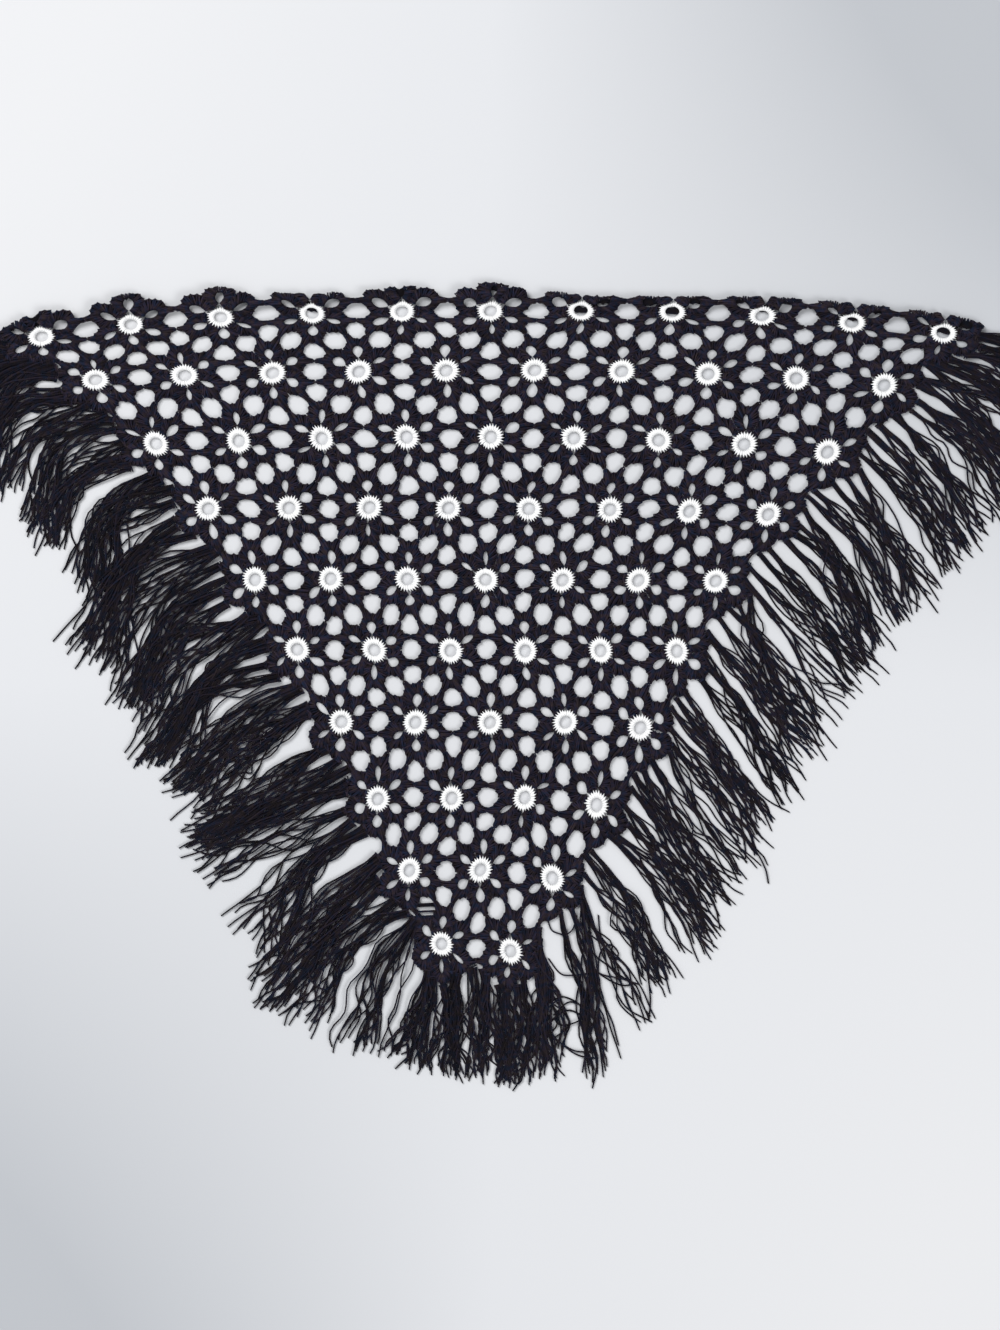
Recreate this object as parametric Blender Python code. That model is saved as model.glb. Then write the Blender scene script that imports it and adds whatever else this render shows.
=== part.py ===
"""Crochet shawl: joined six-petal motifs round thread-covered rings, with a fringe, laid flat.

The panel is laid out on a regular triangular lattice of motifs. ROWS then stretches and sags that
lattice to the lie of the real shawl. Sizes are in millimetres and degrees until the meshes are
made. The shawl rests on z = 0 with its long straight edge towards +Y and its short one towards -Y.
"""

import math

import bmesh
import bpy
import numpy as np
from mathutils import Matrix, Vector
from mathutils.geometry import delaunay_2d_cdt

METRES = 0.001

# Lattice of motifs
TOP_MOTIFS = 11
ROW_COUNT = 10
PITCH = 91.2
ROW_STEP = PITCH * math.sqrt(3) / 2
PETALS = 6
PETAL_ANGLE = 360 / PETALS

# The lie of each row: x at its middle, distance between its rings, y at its middle, and how far
# its left and right ends sag. The first and last rows only carry the border past the outer rings.
ROW_COLUMNS = ("row", "middle", "pitch", "height", "left_sag", "right_sag")
ROWS = (
    (-1, -10.2, 110.0, 471.6, 38.0, 30.0),
    (0, -10.2, 108.1, 423.6, 31.2, 25.2),
    (1, -12.0, 104.8, 352.8, 10.8, 16.8),
    (2, -10.8, 100.8, 272.4, 6.0, 16.8),
    (3, -13.8, 95.9, 187.2, 0.0, 7.2),
    (4, -17.4, 92.2, 103.2, 1.2, 2.4),
    (5, -15.6, 90.7, 18.0, 0.0, 2.4),
    (6, -11.4, 89.7, -68.4, 0.0, 8.4),
    (7, -15.0, 87.6, -158.4, 0.0, 9.6),
    (8, -22.8, 86.4, -247.2, 0.0, 10.8),
    (9, -28.8, 81.6, -339.0, -4.2, 4.2),
    (10, -33.0, 79.0, -426.0, -4.2, 4.2),
)
LEAST_HALF_ROW = 0.5

# One motif, in the plane
RING_SIDES = 8
RING_RADIUS = 15.2
RING_CREST_RADIUS = 11.2
PETAL_HEART_RADIUS = 25.0
PETAL_TIP_RADIUS = 44.1
PETAL_TIP_HALF_ANGLE = 7.0
PETAL_SHOULDER_RADIUS = 39.8
PETAL_SHOULDER_HALF_ANGLE = 20.0
NOTCH_RADIUS = 31.8

# Gaps between the motifs
EDGE_GAP_HALF_LENGTH = 13.4
EDGE_GAP_HALF_END = 6.9
EDGE_GAP_HALF_WIDTH = 10.5
TRIANGLE_GAP_RADIUS = 11.2
BORDER_JOINT_OFFSET = 14.4

# Heights of the upper face over a flat underside
WEB_HEIGHT = 3.6
RING_CREST_HEIGHT = 6.2
HEART_HEIGHT = 1.6
CURL_RISE = 7.0
CURL_CREST = 33.0
CURL_SPREAD = 13.0

# The narrow strip that holds the roots of the fringe, just outside the petal tips
STRIP_RADIUS = PETAL_TIP_RADIUS + 0.5
STRIP_WIDTH = 2.6
STRIP_DIP = 8.0
STRIP_LOW = 0.5
STRIP_HIGH = 3.5
STRIP_END_CLEARANCE = 0.6
STRIP_START_ANGLE = 165.0
LEFT_SIDE_ANGLE = 210.0
BOTTOM_ANGLE = 270.0
RIGHT_SIDE_ANGLE = 330.0
STRIP_END_ANGLE = 375.0
LOCK_SPACING = 13.8
LOCK_ROOT_WIDTH = 6.4
LOCK_TOP_SHARE = 0.6

# The lie of the fringe: millimetres along the border from the left tip, heading at the root and
# at the cut end, and length
FRINGE_COLUMNS = ("along", "root_heading", "end_heading", "length")
FRINGE = (
    (0, 188, 224, 156),
    (130, 198, 238, 156),
    (265, 205, 244, 152),
    (445, 216, 238, 158),
    (675, 218, 234, 158),
    (820, 226, 242, 150),
    (900, 250, 258, 106),
    (950, 268, 270, 96),
    (995, 284, 276, 94),
    (1075, 310, 290, 126),
    (1220, 323, 300, 148),
    (1450, 322, 300, 160),
    (1630, 320, 302, 162),
    (1770, 330, 308, 162),
    (1900, 344, 322, 160),
)

# Cross-sections of a lock: share of its length, width, and height of its upper side
LOCK_SECTIONS = ((0.15, 5.8, 3.8), (0.55, 7.0, 4.0), (1.0, 3.6, 2.2))

# Colours
YARN_COLOUR = (0.017, 0.017, 0.024, 1)
THREAD_COLOUR = (0.87, 0.87, 0.86, 1)


def smooth_value(table, names, name, at):
    """A named column of a table, read at any place on a smooth curve through its rows."""
    keys = [row[0] for row in table]
    values = [row[names.index(name)] for row in table]
    slopes = np.gradient(values, keys)
    i = min(max(int(np.searchsorted(keys, at)) - 1, 0), len(keys) - 2)
    span = keys[i + 1] - keys[i]
    t = (at - keys[i]) / span
    from_start = (2 * t**3 - 3 * t**2 + 1) * values[i] + (t**3 - 2 * t**2 + t) * span * slopes[i]
    from_end = (3 * t**2 - 2 * t**3) * values[i + 1] + (t**3 - t**2) * span * slopes[i + 1]
    return from_start + from_end


def polar(radius, degrees):
    angle = math.radians(degrees)
    return radius * np.array([math.cos(angle), math.sin(angle)])


def laid(point):
    """A place on the regular lattice, moved to where the laid shawl has it."""
    row = -point[1] / ROW_STEP
    across = point[0] / PITCH
    middle, pitch, height, left_sag, right_sag = (
        smooth_value(ROWS, ROW_COLUMNS, name, row) for name in ROW_COLUMNS[1:]
    )
    half_row = max((TOP_MOTIFS - 1 - row) / 2, LEAST_HALF_ROW)
    left = max(0.0, -across / half_row) ** 3
    right = max(0.0, across / half_row) ** 3
    return np.array([middle + pitch * across, height - left_sag * left - right_sag * right])


def ring_centre(row, place):
    """Centre of a motif on the regular lattice."""
    return np.array([PITCH * (place - (TOP_MOTIFS - 1 - row) / 2), -row * ROW_STEP])


def edge_gap(first, second):
    """The pointed gap between two neighbouring motifs."""
    middle = (first + second) / 2
    along = (second - first) / np.linalg.norm(second - first)
    across = np.array([-along[1], along[0]])
    corners = (
        (EDGE_GAP_HALF_LENGTH, 0),
        (EDGE_GAP_HALF_END, EDGE_GAP_HALF_WIDTH),
        (-EDGE_GAP_HALF_END, EDGE_GAP_HALF_WIDTH),
        (-EDGE_GAP_HALF_LENGTH, 0),
        (-EDGE_GAP_HALF_END, -EDGE_GAP_HALF_WIDTH),
        (EDGE_GAP_HALF_END, -EDGE_GAP_HALF_WIDTH),
    )
    return [middle + a * along + b * across for a, b in corners]


def triangle_gap(first, second, third):
    """The rounder gap between three motifs."""
    middle = (first + second + third) / 3
    return [middle + polar(TRIANGLE_GAP_RADIUS, PETAL_ANGLE * k) for k in range(PETALS)]


def all_gaps():
    """Every gap cut through the panel: one on each lattice edge and one in each triangle."""
    gaps = []
    for row in range(ROW_COUNT):
        last_place = TOP_MOTIFS - 1 - row
        for place in range(last_place + 1):
            here = ring_centre(row, place)
            right = ring_centre(row, place + 1)
            low_left = ring_centre(row + 1, place - 1)
            low_right = ring_centre(row + 1, place)
            has_right = place < last_place
            has_low_left = place > 0 and row < ROW_COUNT - 1
            has_low_right = has_right and row < ROW_COUNT - 1
            if has_right:
                gaps.append(edge_gap(here, right))
            if has_low_left:
                gaps.append(edge_gap(here, low_left))
            if has_low_right:
                gaps.append(edge_gap(here, low_right))
                gaps.append(triangle_gap(here, right, low_right))
            if has_low_left and has_low_right:
                gaps.append(triangle_gap(here, low_left, low_right))
    return gaps


def border_rings():
    """The motifs round the border, counter-clockwise from the left tip."""
    left = [ring_centre(row, 0) for row in range(ROW_COUNT)]
    right = [ring_centre(row, TOP_MOTIFS - 1 - row) for row in reversed(range(ROW_COUNT))]
    top = [ring_centre(0, place) for place in range(TOP_MOTIFS - 2, 0, -1)]
    return left + right + top


def heading(vector):
    return math.degrees(math.atan2(vector[1], vector[0]))


def border():
    """The scalloped outline: petal tips, shoulders and notches, and a joint between motifs."""
    rings = border_rings()
    points = []
    for i, ring in enumerate(rings):
        before = rings[i - 1]
        after = rings[(i + 1) % len(rings)]
        start = heading(before - ring)
        petals = round((heading(after - ring) - start) % 360 / PETAL_ANGLE)
        outward = polar(BORDER_JOINT_OFFSET, start + 90)
        points.append((before + ring) / 2 + outward)
        for petal in range(petals):
            axis = start + PETAL_ANGLE * (petal + 0.5)
            if petal > 0:
                points.append(ring + polar(NOTCH_RADIUS, axis - PETAL_ANGLE / 2))
                points.append(ring + polar(PETAL_SHOULDER_RADIUS, axis - PETAL_SHOULDER_HALF_ANGLE))
            if 0 < petal < petals - 1:
                points.append(ring + polar(PETAL_TIP_RADIUS, axis - PETAL_TIP_HALF_ANGLE))
                points.append(ring + polar(PETAL_TIP_RADIUS, axis + PETAL_TIP_HALF_ANGLE))
            else:
                points.append(ring + polar(PETAL_TIP_RADIUS, axis))
            if petal < petals - 1:
                points.append(ring + polar(PETAL_SHOULDER_RADIUS, axis + PETAL_SHOULDER_HALF_ANGLE))
    return points


def curl(point):
    """Extra height along the long edge, where the outer petals are curled under."""
    return CURL_RISE * math.exp(-(((point[1] - CURL_CREST) / CURL_SPREAD) ** 2))


class Plan:
    """Points and closed loops of one face of the panel, to be filled with triangles."""

    def __init__(self):
        self.points = []
        self.heights = []
        self.loops = []
        for loop in [border(), *all_gaps()]:
            self.add_loop(loop, WEB_HEIGHT)
        self.cut_loops = len(self.loops)

    def add(self, points, height):
        self.points.extend(points)
        self.heights.extend(height + curl(p) for p in points)

    def add_loop(self, points, height):
        first = len(self.points)
        self.add(points, height)
        self.loops.append(list(range(first, len(self.points))))

    def fill(self):
        """The laid points, and the triangles inside the border and outside the gaps, each with
        whether it lies on a ring."""
        flat = [Vector(laid(p)) for p in self.points]
        _, _, faces, sources, _, owners = delaunay_2d_cdt(flat, [], self.loops, 0, 1e-5, True)
        triangles = []
        for face, owner in zip(faces, owners):
            if 0 in owner and not any(0 < loop < self.cut_loops for loop in owner):
                triangles.append(([sources[v][0] for v in face], len(owner) > 1))
        return flat, triangles


def add_ring_and_petals(plan, centre):
    """Relief of one motif: the raised ring with its sunk heart, and the six dished petals."""
    turns = [360 * (k + 0.5) / RING_SIDES for k in range(RING_SIDES)]
    plan.add_loop([centre + polar(RING_RADIUS, turn) for turn in turns], WEB_HEIGHT)
    plan.add_loop([centre + polar(RING_CREST_RADIUS, turn) for turn in turns], RING_CREST_HEIGHT)
    plan.add([centre], HEART_HEIGHT)
    axes = [PETAL_ANGLE * (k + 0.5) for k in range(PETALS)]
    plan.add([centre + polar(PETAL_HEART_RADIUS, axis) for axis in axes], HEART_HEIGHT)


def make_panel(yarn, thread):
    """The lace, flat underneath, with raised rings, dished petals and a curled upper edge."""
    under = Plan()
    upper = Plan()
    for row in range(ROW_COUNT):
        for place in range(TOP_MOTIFS - row):
            add_ring_and_petals(upper, ring_centre(row, place))
    mesh = bmesh.new()
    flat, triangles = under.fill()
    low = [mesh.verts.new((x * METRES, y * METRES, 0)) for x, y in flat]
    for corners, _ in triangles:
        mesh.faces.new([low[v] for v in reversed(corners)])
    flat, triangles = upper.fill()
    high = [
        mesh.verts.new((x * METRES, y * METRES, z * METRES))
        for (x, y), z in zip(flat, upper.heights)
    ]
    for corners, on_ring in triangles:
        mesh.faces.new([high[v] for v in corners]).material_index = int(on_ring)
    for loop in under.loops:
        for a, b in zip(loop, loop[1:] + loop[:1]):
            mesh.faces.new((low[a], low[b], high[b], high[a]))
    bmesh.ops.recalc_face_normals(mesh, faces=mesh.faces)
    return add_object("lace_panel", mesh, (yarn, thread))


def strip_stretches():
    """The strip's course: an arc round each corner motif and a straight side between them. Each
    has the ring it starts and ends at, and the outward heading there."""
    left_tip = ring_centre(0, 0)
    low_left = ring_centre(ROW_COUNT - 1, 0)
    low_right = ring_centre(ROW_COUNT - 1, TOP_MOTIFS - ROW_COUNT)
    right_tip = ring_centre(0, TOP_MOTIFS - 1)
    return (
        (left_tip, left_tip, STRIP_START_ANGLE, LEFT_SIDE_ANGLE),
        (left_tip, low_left, LEFT_SIDE_ANGLE, LEFT_SIDE_ANGLE),
        (low_left, low_left, LEFT_SIDE_ANGLE, BOTTOM_ANGLE),
        (low_left, low_right, BOTTOM_ANGLE, BOTTOM_ANGLE),
        (low_right, low_right, BOTTOM_ANGLE, RIGHT_SIDE_ANGLE),
        (low_right, right_tip, RIGHT_SIDE_ANGLE, RIGHT_SIDE_ANGLE),
        (right_tip, right_tip, RIGHT_SIDE_ANGLE, STRIP_END_ANGLE),
    )


def stretch_length(first, last, start_angle, end_angle):
    return np.linalg.norm(last - first) + STRIP_RADIUS * math.radians(end_angle - start_angle)


def strip_point(along, offset):
    """A laid point of the strip: along the border from the left tip, and out from its inner side.
    The strip dips a little between the motifs."""
    for first, last, start_angle, end_angle in strip_stretches():
        length = stretch_length(first, last, start_angle, end_angle)
        if along <= length:
            break
        along -= length
    share = along / length
    travelled = share * np.linalg.norm(last - first)
    dip = STRIP_DIP * (1 - math.cos(2 * math.pi * travelled / PITCH)) / 2
    angle = start_angle + share * (end_angle - start_angle)
    return laid(first + share * (last - first) + polar(STRIP_RADIUS - dip + offset, angle))


def grow_lock(mesh, root, across, along):
    """Draws one lock of yarn out of a root face, section by section, along its own curve."""
    root_heading, end_heading, length = (
        smooth_value(FRINGE, FRINGE_COLUMNS, name, along) for name in FRINGE_COLUMNS[1:]
    )
    centre = np.array(root.calc_center_median().xy) / METRES
    face = root
    share_before = 0
    for share, width, high in LOCK_SECTIONS:
        turn = (share + share_before) / 2
        step = polar(length * (share - share_before), root_heading + turn * (end_heading - root_heading))
        next_across = polar(1, root_heading + share * (end_heading - root_heading) + 90)
        grown = bmesh.ops.extrude_discrete_faces(mesh, faces=[face])["faces"][0]
        for vert in grown.verts:
            is_high = vert.co.z > (STRIP_LOW + STRIP_HIGH) / 2 * METRES
            side = math.copysign(width / 2, np.dot(np.array(vert.co.xy) / METRES - centre, across))
            place = centre + step + next_across * side * (LOCK_TOP_SHARE if is_high else 1)
            vert.co = Vector((place[0], place[1], high if is_high else STRIP_LOW)) * METRES
        face = grown
        centre = centre + step
        across = next_across
        share_before = share


def make_fringe(name, start, end, yarn):
    """A stretch of fringe: its strip, and locks that stand apart but for their roots."""
    start += STRIP_END_CLEARANCE
    end -= STRIP_END_CLEARANCE
    locks = round((end - start) / LOCK_SPACING)
    spacing = (end - start) / locks
    roots = [start + spacing * (k + 0.5) for k in range(locks)]
    stations = [start]
    for root in roots:
        stations += [root - LOCK_ROOT_WIDTH / 2, root + LOCK_ROOT_WIDTH / 2]
    stations.append(end)

    mesh = bmesh.new()
    rows = []
    for z in (STRIP_LOW, STRIP_HIGH):
        for offset in (0, STRIP_WIDTH):
            points = [strip_point(along, offset) for along in stations]
            rows.append([mesh.verts.new((x * METRES, y * METRES, z * METRES)) for x, y in points])
    inner_low, outer_low, inner_high, outer_high = rows
    root_faces = []
    for i in range(len(stations) - 1):
        mesh.faces.new((inner_low[i], inner_low[i + 1], outer_low[i + 1], outer_low[i]))
        mesh.faces.new((inner_high[i], outer_high[i], outer_high[i + 1], inner_high[i + 1]))
        mesh.faces.new((inner_low[i], inner_high[i], inner_high[i + 1], inner_low[i + 1]))
        side = mesh.faces.new((outer_low[i], outer_low[i + 1], outer_high[i + 1], outer_high[i]))
        if i % 2 == 1:
            root_faces.append(side)
    for i in (0, -1):
        mesh.faces.new((inner_low[i], outer_low[i], outer_high[i], inner_high[i]))
    bmesh.ops.recalc_face_normals(mesh, faces=mesh.faces)
    for face, root in zip(root_faces, roots):
        ends = [strip_point(root + sign * LOCK_ROOT_WIDTH / 2, STRIP_WIDTH) for sign in (-1, 1)]
        across = (ends[1] - ends[0]) / np.linalg.norm(ends[1] - ends[0])
        grow_lock(mesh, face, across, root)
    return add_object(name, mesh, (yarn,))


def make_material(name, colour, roughness):
    material = bpy.data.materials.new(name)
    material.use_nodes = True
    shader = material.node_tree.nodes["Principled BSDF"]
    shader.inputs["Base Color"].default_value = colour
    shader.inputs["Roughness"].default_value = roughness
    shader.inputs["Metallic"].default_value = 0
    return material


def add_object(name, mesh, materials):
    data = bpy.data.meshes.new(name)
    mesh.to_mesh(data)
    mesh.free()
    for material in materials:
        data.materials.append(material)
    thing = bpy.data.objects.new(name, data)
    bpy.data.collections["crochet_shawl"].objects.link(thing)
    return thing


def centre_footprint(things):
    """Moves every mesh so that the shawl's footprint is centred on the origin."""
    corners = np.array([vertex.co.xy for thing in things for vertex in thing.data.vertices])
    middle = (corners.min(axis=0) + corners.max(axis=0)) / 2
    for thing in things:
        thing.data.transform(Matrix.Translation((-middle[0], -middle[1], 0)))
        thing.data.update()


def main():
    for thing in list(bpy.data.objects):
        bpy.data.objects.remove(thing)
    shawl = bpy.data.collections.new("crochet_shawl")
    bpy.context.scene.collection.children.link(shawl)
    yarn = make_material("black_yarn", YARN_COLOUR, 0.85)
    thread = make_material("white_thread", THREAD_COLOUR, 0.7)
    lengths = [stretch_length(*stretch) for stretch in strip_stretches()]
    bottom_start = sum(lengths[:2]) + lengths[2] / 2
    bottom_end = sum(lengths[:4]) + lengths[4] / 2
    things = [
        make_panel(yarn, thread),
        make_fringe("fringe_left", 0, bottom_start, yarn),
        make_fringe("fringe_bottom", bottom_start, bottom_end, yarn),
        make_fringe("fringe_right", bottom_end, sum(lengths), yarn),
    ]
    centre_footprint(things)


main()
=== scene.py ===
"""Looks of the crochet shawl: petals, rings and fringe as real yarn, laid where the solids lie.

The yarn is drawn on the same regular lattice of motifs as the solids, and ROWS moves it to the lie
of the shawl. Sizes are in millimetres and degrees until the meshes are made.
"""

import math

import bpy
import numpy as np
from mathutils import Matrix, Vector

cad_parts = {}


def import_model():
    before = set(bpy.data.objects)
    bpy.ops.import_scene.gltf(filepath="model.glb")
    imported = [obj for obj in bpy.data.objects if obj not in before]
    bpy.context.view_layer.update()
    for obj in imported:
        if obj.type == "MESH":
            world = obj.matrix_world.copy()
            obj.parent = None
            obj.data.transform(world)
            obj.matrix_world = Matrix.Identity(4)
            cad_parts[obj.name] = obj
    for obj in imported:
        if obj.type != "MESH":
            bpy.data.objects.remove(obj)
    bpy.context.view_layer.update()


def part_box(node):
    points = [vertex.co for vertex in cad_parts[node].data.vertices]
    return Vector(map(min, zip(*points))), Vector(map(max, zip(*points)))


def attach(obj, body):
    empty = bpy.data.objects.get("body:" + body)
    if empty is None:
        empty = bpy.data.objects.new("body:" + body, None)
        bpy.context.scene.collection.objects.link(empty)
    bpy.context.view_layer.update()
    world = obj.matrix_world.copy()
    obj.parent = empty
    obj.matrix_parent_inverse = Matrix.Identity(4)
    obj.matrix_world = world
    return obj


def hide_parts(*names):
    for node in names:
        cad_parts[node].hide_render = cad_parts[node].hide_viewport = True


METRES = 0.001

# Lattice of motifs
TOP_MOTIFS = 11
ROW_COUNT = 10
PITCH = 91.2
ROW_STEP = PITCH * math.sqrt(3) / 2
PETALS = 6
PETAL_ANGLE = 360 / PETALS

# The lie of each row: x at its middle, distance between its rings, y at its middle, and how far
# its left and right ends sag. The first and last rows only carry the border past the outer rings.
ROW_COLUMNS = ("row", "middle", "pitch", "height", "left_sag", "right_sag")
ROWS = (
    (-1, -10.2, 110.0, 471.6, 38.0, 30.0),
    (0, -10.2, 108.1, 423.6, 31.2, 25.2),
    (1, -12.0, 104.8, 352.8, 10.8, 16.8),
    (2, -10.8, 100.8, 272.4, 6.0, 16.8),
    (3, -13.8, 95.9, 187.2, 0.0, 7.2),
    (4, -17.4, 92.2, 103.2, 1.2, 2.4),
    (5, -15.6, 90.7, 18.0, 0.0, 2.4),
    (6, -11.4, 89.7, -68.4, 0.0, 8.4),
    (7, -15.0, 87.6, -158.4, 0.0, 9.6),
    (8, -22.8, 86.4, -247.2, 0.0, 10.8),
    (9, -28.8, 81.6, -339.0, -4.2, 4.2),
    (10, -33.0, 79.0, -426.0, -4.2, 4.2),
)
LEAST_HALF_ROW = 0.5
MOST_SAG_REACH = 1.1

# The border of the solids, in the plane
PETAL_TIP_RADIUS = 44.1
PETAL_TIP_HALF_ANGLE = 7.0
PETAL_SHOULDER_RADIUS = 39.8
PETAL_SHOULDER_HALF_ANGLE = 20.0
NOTCH_RADIUS = 31.8
BORDER_JOINT_OFFSET = 14.4

# Hand-made unevenness of the lattice: size, wavelength, heading and phase of each wave
WAVES = ((1.0, 74, 20, 0.4), (0.85, 57, 100, 2.1), (0.7, 43, 160, 4.4), (0.6, 36, 65, 1.3))

# One petal, with x along its axis from the ring's centre. Half of its outline runs from the ring
# to the tip, on a side joined to a neighbouring motif and on a free side.
JOINED_SIDE = (
    (10.4, 6.4), (19.4, 11.8), (26.6, 15.8), (27.9, 16.2), (28.9, 15.6), (33.4, 13.2), (38.8, 10.6),
    (40.2, 10.5), (44.6, 13.2), (45.8, 13.4), (47.6, 9.8), (46.6, 8.4), (42.9, 5.6), (41.7, 2.4),
    (41.5, 0),
)
FREE_SIDE = (
    (10.4, 6.4), (19.4, 11.8), (26.2, 15.5), (28.6, 16.0), (32.8, 14.7),
    (37.2, 12.2), (40.6, 9.2), (42.4, 5.6), (43.1, 2.6), (43.2, 0),
)
HOLE_CENTRE = 24.6
HOLE_OUTER_HALF = 8.8
HOLE_INNER_HALF = 9.0
HOLE_HALF_WIDTH = 6.0
HOLE_POINT = 0.45
HOLE_OPEN_ANGLE = 166.0
STITCHES = 16
WOBBLES = (0.2, 0.26, 0.36, 0.42, 0.42, 0.42)

# Heights and thickness of the yarn
WEB_LOW = 0.5
WEB_HIGH = 3.0
WEB_STEPS = 16

# The long edge is folded under. How far it stands out past the rings, at places counted in
# motifs, the share of its length that the cloth keeps there, and the radius of the fold
TOP_REACH = (
    (-0.6, 9), (-0.45, 14), (-0.22, 22), (0, 27), (1, 34), (2, 34), (3, 20), (4, 28), (5, 33),
    (6, 17), (7, 17), (8, 21), (9, 20), (10, 19), (10.25, 17), (10.6, 10),
)
TOP_SHARE = 0.96
FOLD_RADIUS = 2.6
FOLD_RAMP = 14.0
CLOTH_MIDDLE = 2.7
LEAST_HEIGHT = 0.2

# Ring covered in thread: the course of one pointed stitch over it
RING_STITCHES = 28
RING_CORE_RADIUS = 10.1
RING_CORE_HALF = 3.2
RING_CORE_HEIGHT = 3.6
THREAD_COURSE = (
    # radius, height, half-width
    (8.4, 1.4, 0.8),
    (7.5, 3.4, 1.05),
    (8.5, 5.6, 1.35),
    (10.2, 6.3, 1.7),
    (11.8, 6.0, 1.85),
    (13.3, 5.5, 1.0),
    (15.7, 5.0, 0.12),
)

# The strip that holds the fringe in the solids, and the lie of the fringe along it
STRIP_RADIUS = PETAL_TIP_RADIUS + 0.5
STRIP_DIP = 8.0
STRIP_START_ANGLE = 165.0
LEFT_SIDE_ANGLE = 210.0
BOTTOM_ANGLE = 270.0
RIGHT_SIDE_ANGLE = 330.0
STRIP_END_ANGLE = 375.0
LOCK_SPACING = 13.8
FRINGE_COLUMNS = ("along", "root_heading", "end_heading", "length")
FRINGE = (
    (0, 186, 232, 150), (60, 188, 240, 154), (154, 192, 252, 160), (220, 195, 256, 150),
    (263, 197, 259, 150), (300, 202, 258, 166), (345, 204, 252, 172), (367, 200, 250, 178),
    (400, 206, 246, 172), (430, 214, 244, 174), (465, 206, 240, 172), (491, 198, 238, 176),
    (540, 210, 224, 180), (565, 210, 228, 174), (583, 216, 226, 174), (610, 216, 212, 174),
    (640, 206, 198, 182), (673, 202, 206, 178), (688, 203, 240, 176), (706, 206, 250, 174), (722, 214, 234, 182),
    (765, 212, 224, 176), (800, 213, 238, 166), (820, 226, 262, 156), (838, 228, 262, 152),
    (851, 266, 256, 110), (880, 269, 250, 103), (902, 269, 254, 102), (925, 270, 262, 100),
    (950, 270, 272, 102), (975, 271, 274, 106), (995, 271, 272, 108), (1020, 271, 270, 108),
    (1045, 270, 270, 120), (1080, 268, 270, 158), (1110, 271, 275, 176), (1132, 272, 279, 176),
    (1150, 290, 290, 152), (1165, 304, 290, 154), (1185, 308, 296, 156), (1215, 318, 296, 160),
    (1250, 310, 308, 162), (1295, 304, 310, 164),
    (1340, 304, 300, 162), (1370, 305, 300, 162), (1405, 308, 308, 162), (1440, 312, 300, 162),
    (1480, 303, 298, 162), (1500, 304, 302, 164), (1520, 306, 312, 160), (1545, 310, 311, 168),
    (1565, 309, 306, 168), (1590, 318, 292, 178), (1620, 311, 298, 168), (1650, 308, 304, 166),
    (1700, 318, 291, 168), (1745, 321, 296, 174), (1765, 320, 300, 174), (1800, 332, 306, 168),
    (1896, 350, 318, 160),
)
# Where the groups of bundles end along the border, and how far each group is drawn together
GROUPS = (
    (60, 0.2), (175, 0.4), (235, 0.5), (292, 0.6), (360, 0.45), (440, 0.3), (510, 0.3),
    (576, 0.4), (640, 0.4), (681, 0.3), (716, 0.4), (752, 0.35), (790, 0.3), (844, 0.5), (880, 0.15),
    (925, 0.1), (970, 0.1), (1020, 0.1), (1055, 0.1), (1095, 0.4), (1141, 0.5), (1190, 0.4), (1225, 0.5),
    (1262, 0.5), (1310, 0.4), (1350, 0.5), (1385, 0.6), (1425, 0.5), (1470, 0.6), (1520, 0.5),
    (1570, 0.5), (1602, 0.6), (1655, 0.45), (1700, 0.45), (1755, 0.5), (1820, 0.3), (1900, 0.2),
)
# How closely the bundles hang at places along the border
CROWDING = (
    (0, 1.5), (110, 1.3), (180, 1.0), (740, 1.0), (790, 0.75), (850, 0.75), (880, 1.0),
    (1700, 1.0), (1790, 1.7), (1896, 2.0),
)
# Stretches of the border that no bundle hangs from
BARE = ((226, 244), (558, 594), (700, 732), (814, 876), (1083, 1108))
# Loose ends that stand apart from the bundles, with y up from the middle of the photograph
LOOSE_ENDS = (
    ((134, -306), (150, -330), (172.8, -357.6), (180, -396), (178.8, -424.8)),
    ((124, -340), (132, -373.2), (150, -409.2), (182.4, -428.4)),
    ((112, -366), (124.8, -372), (144, -375.6), (165.6, -382.8)),
    ((108, -360), (124.8, -374), (146, -384), (163, -382)),
    ((118, -300), (121, -325), (134, -356), (142, -346), (132, -335), (120, -346), (118, -376), (124, -400)),
    ((56, -300), (61.2, -316.8), (69.6, -321.6), (79.2, -322.8), (87.6, -316), (92, -300)),
    ((58, -352), (72, -369.6), (86.4, -372), (108, -369.6)),
    ((60, -404), (76, -398), (96, -408), (98, -424), (76, -432), (66, -424), (84, -414), (110, -430), (126, -452)),
    ((64, -420), (84, -404), (106, -416), (116, -440), (112, -462)),
    ((58, -440), (76, -456), (94, -468), (118, -472)),
    ((62, -446), (88, -462), (110, -464)),
    ((270, -196), (290, -206), (306, -222), (318, -244), (322, -262)),
    ((-196, -330), (-204, -352), (-190, -368), (-176, -356), (-184, -340), (-206, -350), (-224, -380)),
    ((-214, -342), (-230, -362), (-222, -384), (-204, -388), (-196, -372)),
    ((-286, -118), (-300, -136), (-314, -130), (-318, -112)),
    ((-340, -30), (-352, -20), (-352, 0), (-336, 8)),
)
STRANDS = {"fringe_left": 11,"fringe_bottom": 12, "fringe_right": 9}
# Half-width of a bundle at its root, how much wider it gets and over what share of its length,
# and how far its strands drift apart at their ends
SPREADS = {
    "fringe_left": (4.6, 5.8, 0.3, 12.0),
    "fringe_bottom": (4.6, 3.2, 0.5, 11.0),
    "fringe_right": (2.4, 6.0, 0.75, 7.5),
}
STRAND_POINTS = 20
STRAND_RADIUS = 1.28
STRAY_SHARE = 0.05
# The range each fringe strand's shade is drawn from at random. It lies lower than the lace's range: the random
# spread is the yarn's own tone, and the lower level is painted shade for the shade among the densely hanging
# strands
STRAND_SHADES = (0.0, 0.5)

SEED = 41


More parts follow.
